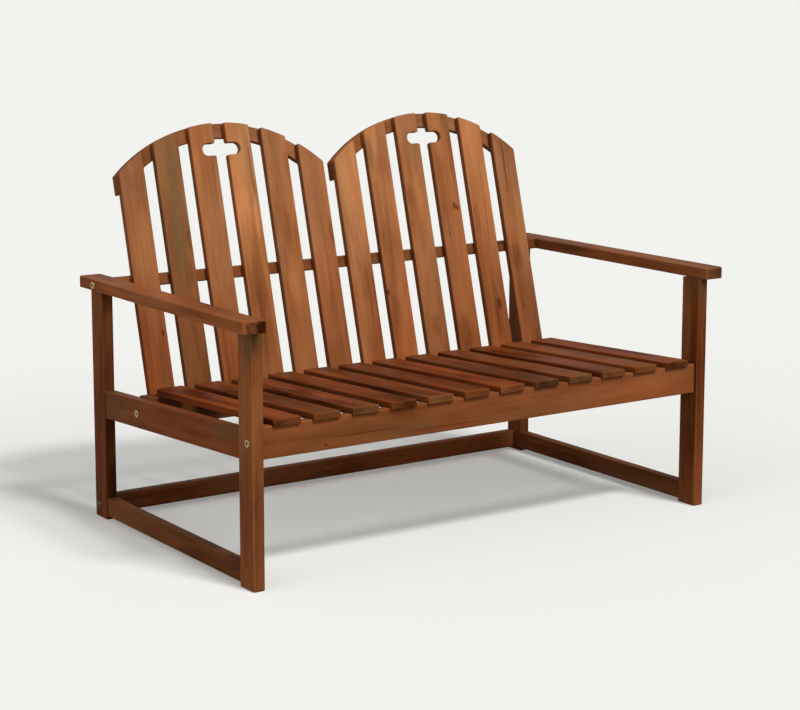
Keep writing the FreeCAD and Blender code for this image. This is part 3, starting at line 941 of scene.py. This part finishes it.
@dataclass
class Studio:
    """A pale floor, soft light from the front and the left, and the camera.

    Lengths are in metres, the lens and sensor in millimetres, and angles in degrees.
    """

    floor_half: float = 150.0
    pale: Colour = (0.896, 0.894, 0.862)
    glow: float = 0.21
    bounce: Colour = (0.26, 0.25, 0.24)
    sky_low: float = 0.30
    sky_high: float = 0.04
    sky_left: float = 0.56
    key_share: float = 0.54
    key_slants: tuple[float, ...] = (-0.248, -0.150, -0.052)
    key_depth: float = 0.74
    key_angle: float = 8.0
    fills: tuple[Lamp, ...] = (
        Lamp(slant=-0.3, depth=1.3, share=0.10, angle=24.0),
        Lamp(slant=-0.5, depth=2.2, share=0.045, angle=30.0),
        Lamp(slant=3.6, depth=0.6, share=0.065, angle=40.0),
    )
    eye: Triple = (-2.4284, -3.5397, 1.1737)
    lens: float = 92.107
    sensor: float = 36.0
    shift: float = -0.08
    yaw: float = 34.3043
    pitch: float = 9.1670
    roll: float = 0.031
    far_limit: float = 500.0

    def build(self) -> None:
        """Build the floor, the light and the camera."""
        self.build_floor()
        self.build_sky()
        self.build_lamps()
        self.build_camera()

    def build_floor(self) -> None:
        """Lay the floor. It looks pale, glows a little where it is seen, and throws less light back."""
        shape = bmesh.new()
        bmesh.ops.create_grid(shape, x_segments=1, y_segments=1, size=self.floor_half)
        mesh = bpy.data.meshes.new("floor")
        shape.to_mesh(mesh)
        shape.free()
        floor = bpy.data.objects.new("floor", mesh)
        bpy.context.scene.collection.objects.link(floor)
        shader = Shader(bpy.data.materials.new("pale_floor"))
        lit = scaled(self.pale, (1.0 - self.glow,) * 3)
        seen = shader.seen()
        mesh.materials.append(shader.principled({
            "Base Color": shader.blend(seen, self.bounce, lit),
            "Roughness": 1.0,
            "Specular IOR Level": 0.0,
            "Emission Color": shader.blend(seen, BLACK, self.pale),
            "Emission Strength": self.glow,
        }))
        LOG.info("floor laid")

    def build_sky(self) -> None:
        """Light the scene most from the left, and show the floor's colour where the sky is seen."""
        world = bpy.data.worlds.new("sky")
        bpy.context.scene.world = world
        shader = Shader(world)
        right, _, up = shader.split(shader.coordinates().outputs["Generated"])
        rise = up.larger(0.0) * (self.sky_high - self.sky_low)
        strength = self.sky_low + rise + (0.0 - right).larger(0.0) * self.sky_left
        light = shader.node("ShaderNodeBackground", {}, {"Color": opaque(WHITE), "Strength": strength})
        shown = shader.node("ShaderNodeBackground", {}, {"Color": opaque(self.pale), "Strength": 1.0})
        inputs = {0: shader.seen(), 1: light.outputs[0], 2: shown.outputs[0]}
        shader.finish(shader.node("ShaderNodeMixShader", {}, inputs).outputs[0])
        LOG.info("sky lit")

    def build_lamps(self) -> None:
        """Hang a row of soft lamps in front of the bench and above it, and lower ones that fill in."""
        share = self.key_share / len(self.key_slants)
        for number, slant in enumerate(self.key_slants, 1):
            Lamp(slant, self.key_depth, share, self.key_angle).hang("key_%d" % number)
        for number, lamp in enumerate(self.fills, 1):
            lamp.hang("fill_%d" % number)
        LOG.info("%d lamps hung", len(self.key_slants) + len(self.fills))

    def build_camera(self) -> None:
        """Set up the camera at the photograph's viewing angle."""
        data = bpy.data.cameras.new("view")
        data.lens = self.lens
        data.sensor_width = self.sensor
        data.shift_y = self.shift
        data.clip_end = self.far_limit
        camera = bpy.data.objects.new("view", data)
        camera.location = self.eye
        aim = Euler((math.radians(90.0 - self.pitch), 0.0, math.radians(-self.yaw))).to_matrix()
        camera.rotation_euler = (aim @ Matrix.Rotation(math.radians(self.roll), 3, "Z")).to_euler()
        bpy.context.scene.collection.objects.link(camera)
        bpy.context.scene.camera = camera
        bpy.context.scene.view_settings.view_transform = "Standard"
        LOG.info("camera set")


# How each board differs, and its marks


LEFT_TONES = {
    "front_post": Tone(redness=-0.4, olive=0.6),
    "rear_post": Tone(0.66, redness=0.3),
    "armrest": Tone(1.06, redness=0.1),
    "seat_side_rail": Tone(0.75, redness=0.2, olive=0.3),
    # A dark tone: partly the board's own, partly painted shade low down near the floor
    "bottom_side_rail": Tone(0.57, redness=0.2),
}
LEFT_MARKS = {
    "front_post": (
        Mark(along=0.232, across=-0.014, length=0.045, width=0.018, depth=0.28, soft=1.0, green=0.65),
        Mark(along=0.1, across=-0.02, length=0.09, width=0.008, depth=-0.14, soft=1.0),
        Mark(along=0.04, across=0.012, length=0.12, width=0.012, depth=0.05, soft=1.0, green=0.3),
    ),
    "rear_post": (
        Mark(along=0.0, across=-0.026, length=0.5, width=0.005, depth=0.12, soft=0.5),
        Mark(along=0.11, across=0.0, length=0.06, width=0.004, depth=-0.16, soft=1.0),
        Mark(along=0.0, across=-0.012, length=0.2, width=0.006, depth=0.08, soft=1.0),
    ),
    "armrest": (
        Mark(along=-0.347, across=0.021, length=0.008, width=0.019, depth=0.2),
        Mark(along=-0.345, across=0.0, length=0.004, width=0.06, depth=0.28, soft=0.5),
        Mark(along=-0.345, across=0.014, length=0.004, width=0.013, depth=0.22, soft=0.6),
    ),
    "seat_side_rail": (
        Mark(along=0.25, across=0.0, length=0.06, width=0.05, depth=0.1, soft=1.0, green=0.3),
        Mark(along=-0.228, across=0.02, length=0.05, width=0.03, depth=0.1, soft=1.0, green=0.35),
        Mark(along=0.061, across=0.007, length=0.003, width=0.002, depth=0.4),
        Mark(along=-0.145, across=-0.009, length=0.003, width=0.002, depth=0.25),
    ),
}
RIGHT_TONES = {
    "front_post": Tone(0.79, redness=0.1, olive=0.3),
    "rear_post": Tone(0.66, redness=-0.2),
    "armrest": Tone(0.81, redness=-0.3, olive=0.3),
    "seat_side_rail": Tone(0.75),
    # A dark tone: partly the board's own, partly painted shade low down near the floor
    "bottom_side_rail": Tone(0.66, redness=-0.4),
}
RIGHT_MARKS = {
    "armrest": (
        Mark(along=-0.345, across=0.0, length=0.004, width=0.06, depth=0.09, soft=0.5, green=0.15),
    ),
    "front_post": (
        # Painted shade under the armrest, tinted olive
        Mark(along=0.235, across=-0.01, length=0.05, width=0.03, depth=0.15, soft=1.0, green=0.35),
        Mark(along=0.0, across=-0.026, length=0.4, width=0.005, depth=-0.1, soft=0.5),
    ),
    "rear_post": (Mark(along=0.0, across=-0.026, length=0.5, width=0.005, depth=0.08, soft=0.5),),
}
RAIL_TONES = {
    "front_apron": Tone(1.06, redness=-0.1, olive=0.25),
    "seat_rear_rail": Tone(0.55),
    "rear_stretcher": Tone(0.88),
    "back_mid_rail": Tone(0.79, redness=-0.1),
}
RAIL_MARKS = {
    "front_apron": (
        Mark(along=-0.3, across=-0.008, length=0.11, width=0.0016, depth=0.2),
        Mark(along=-0.12, across=-0.02, length=0.1, width=0.0014, depth=0.16),
        Mark(along=0.52, across=0.004, length=0.09, width=0.04, depth=0.12, soft=1.0),
        Mark(along=0.12, across=-0.004, length=0.15, width=0.02, depth=0.05, soft=1.0),
        Mark(along=-0.25, across=-0.024, length=0.25, width=0.009, depth=-0.05, soft=1.0),
        Mark(along=-0.4, across=-0.021, length=0.004, width=0.0026, depth=0.35),
    ),
}
SEAT_TONES = (
    Tone(1.18, redness=0.5), Tone(0.81, redness=-0.3), Tone(1.19, redness=-0.2),
    Tone(0.94, redness=0.1), Tone(1.12, redness=-0.3), Tone(0.83), Tone(1.15, redness=0.3),
    Tone(0.9, redness=-0.6, olive=0.3), Tone(1.01, redness=-0.2), Tone(0.9),
    Tone(0.98, redness=-0.3), Tone(0.97, redness=0.2),
)
SEAT_MARKS = {
    1: (
        cut_end(0.3, green=0.15),
        Mark(along=-0.08, across=0.01, length=0.09, width=0.012, depth=-0.1, soft=1.0),
        Mark(along=0.06, across=-0.01, length=0.07, width=0.012, depth=0.08, soft=1.0),
    ),
    2: (
        cut_end(-0.26),
        Mark(along=0.02, across=0.01, length=0.11, width=0.012, depth=0.07, soft=1.0),
    ),
    3: (
        cut_end(0.2, green=0.35),
        Mark(along=-0.1, across=0.008, length=0.08, width=0.014, depth=-0.1, soft=1.0),
        Mark(along=0.1, across=-0.008, length=0.07, width=0.014, depth=-0.08, soft=1.0),
    ),
    4: (
        cut_end(0.06),
        Mark(along=-0.06, across=0.0, length=0.06, width=0.016, depth=0.09, soft=1.0),
        Mark(along=0.09, across=0.006, length=0.09, width=0.014, depth=-0.09, soft=1.0),
    ),
    5: (
        cut_end(-0.26, green=0.15),
        Mark(along=-0.04, across=-0.006, length=0.1, width=0.012, depth=-0.1, soft=1.0),
    ),
    6: (
        cut_end(-0.26, green=0.15),
        Mark(along=0.06, across=0.0, length=0.08, width=0.018, depth=0.08, soft=1.0),
    ),
    7: (
        Mark(along=-0.237, across=-0.022, length=0.008, width=0.009, depth=-0.3, green=0.3),
        Mark(along=-0.237, across=0.008, length=0.006, width=0.022, depth=0.1, soft=0.6, green=0.25),
        Mark(along=0.04, across=0.006, length=0.11, width=0.014, depth=-0.1, soft=1.0),
    ),
    8: (
        cut_end(0.24, green=0.15),
        Mark(along=-0.18, across=0.0, length=0.07, width=0.03, depth=0.08, soft=1.0),
        Mark(along=0.1, across=0.004, length=0.07, width=0.016, depth=0.08, soft=1.0),
    ),
    9: (
        cut_end(0.14, green=0.25),
        Mark(along=0.02, across=-0.006, length=0.09, width=0.012, depth=-0.08, soft=1.0),
    ),
    10: (cut_end(-0.26, green=0.15),),
    11: (
        Mark(along=-0.237, across=0.012, length=0.006, width=0.02, depth=-0.26, soft=0.7),
        Mark(along=0.06, across=0.0, length=0.08, width=0.016, depth=-0.08, soft=1.0),
    ),
    12: (Mark(along=-0.238, across=0.0, length=0.008, width=0.04, depth=0.46, soft=0.3, green=0.12),),
}
BACK_TONES = (
    Tone(0.85, redness=0.2), Tone(0.72, redness=-0.3, olive=0.6),
    Tone(0.88, redness=0.1), Tone(1.17, redness=-0.3, olive=0.1),
    Tone(1.08, redness=-0.2, olive=0.2), Tone(0.92, redness=0.2), Tone(1.11),
    Tone(1.22, redness=0.1, olive=0.1), Tone(0.98, redness=-0.1, olive=0.4), Tone(0.99, olive=0.2),
    Tone(1.12), Tone(0.94, olive=0.2),
)
BACK_MARKS = {
    1: (
        Mark(along=-0.097, across=0.02, length=0.006, width=0.0025, depth=0.45, soft=0.5),
        Mark(along=-0.2, across=0.012, length=0.09, width=0.014, depth=0.04, soft=1.0, green=0.3),
    ),
    2: (
        Mark(along=0.17, across=0.004, length=0.16, width=0.02, depth=0.06, soft=1.0, green=0.55),
        Mark(along=0.03, across=-0.004, length=0.1, width=0.016, depth=0.06, soft=1.0, green=0.45),
        Mark(along=0.075, across=0.025, length=0.03, width=0.006, depth=0.2),
        Mark(along=0.0, across=0.012, length=0.03, width=0.01, depth=0.12),
    ),
    3: (Mark(along=0.16, across=0.024, length=0.07, width=0.006, depth=-0.22),),
    4: (
        Mark(along=0.205, across=0.0205, length=0.06, width=0.0016, depth=0.22, soft=0.9),
        Mark(along=0.105, across=0.018, length=0.05, width=0.005, depth=-0.22),
    ),
    5: (
        Mark(along=0.219, across=0.006, length=0.08, width=0.018, depth=-0.04, soft=1.0, green=0.2),
        Mark(along=-0.037, across=0.0, length=0.09, width=0.014, depth=-0.12, soft=1.0),
        Mark(along=0.09, across=0.0, length=0.06, width=0.012, depth=0.06),
    ),
    6: (
        Mark(along=0.085, across=0.025, length=0.035, width=0.007, depth=0.2),
        Mark(along=-0.045, across=0.002, length=0.05, width=0.0016, depth=0.3),
        Mark(along=-0.075, across=-0.004, length=0.035, width=0.0013, depth=0.28),
    ),
    7: (Mark(along=0.2, across=-0.005, length=0.1, width=0.02, depth=-0.06, soft=1.0),),
    8: (
        Mark(along=0.231, across=-0.022, length=0.05, width=0.01, depth=0.1, soft=1.0, green=0.5),
        Mark(along=-0.083, across=-0.0265, length=0.008, width=0.004, depth=0.35,
             soft=0.7, swirl=0.004, green=0.3),
    ),
    9: (
        Mark(along=0.119, across=-0.016, length=0.03, width=0.012, depth=0.09, soft=1.0),
        Mark(along=0.226, across=0.001, length=0.06, width=0.022, depth=0.04, soft=1.0, green=0.35),
        Mark(along=-0.128, across=0.012, length=0.045, width=0.011, depth=0.06, soft=1.0, swirl=0.018),
        Mark(along=-0.177, across=0.003, length=0.03, width=0.016, depth=0.18),
    ),
    10: (
        Mark(along=0.092, across=0.011, length=0.01, width=0.0045, depth=0.4),
        Mark(along=0.087, across=0.019, length=0.008, width=0.004, depth=0.4),
        Mark(along=0.029, across=-0.013, length=0.007, width=0.0012, depth=0.4),
        Mark(along=0.182, across=0.018, length=0.02, width=0.004, depth=0.12),
        Mark(along=-0.205, across=-0.01, length=0.045, width=0.022, depth=0.16),
    ),
    11: (Mark(along=-0.136, across=0.009, length=0.016, width=0.007, depth=0.3),),
    12: (
        Mark(along=0.201, across=-0.005, length=0.07, width=0.003, depth=0.18),
        Mark(along=-0.01, across=-0.012, length=0.035, width=0.018, depth=0.12),
        Mark(along=-0.128, across=-0.01, length=0.008, width=0.004, depth=0.18),
    ),
}


def main() -> None:
    """Dress the bench and build the studio."""
    logging.basicConfig(level=logging.INFO, format="%(message)s")
    SideFrame(first_seed=1, side=Side.LEFT, tones=LEFT_TONES, marks=LEFT_MARKS).dress()
    SideFrame(first_seed=11, side=Side.RIGHT, tones=RIGHT_TONES, marks=RIGHT_MARKS).dress()
    CrossRails(first_seed=21, tones=RAIL_TONES, marks=RAIL_MARKS).dress()
    Seat(first_seed=31, tones=SEAT_TONES, marks=SEAT_MARKS).dress()
    Back(first_seed=51, tones=BACK_TONES, marks=BACK_MARKS).dress()
    Fasteners().dress()
    Studio().build()


if __name__ == "__main__":
    main()
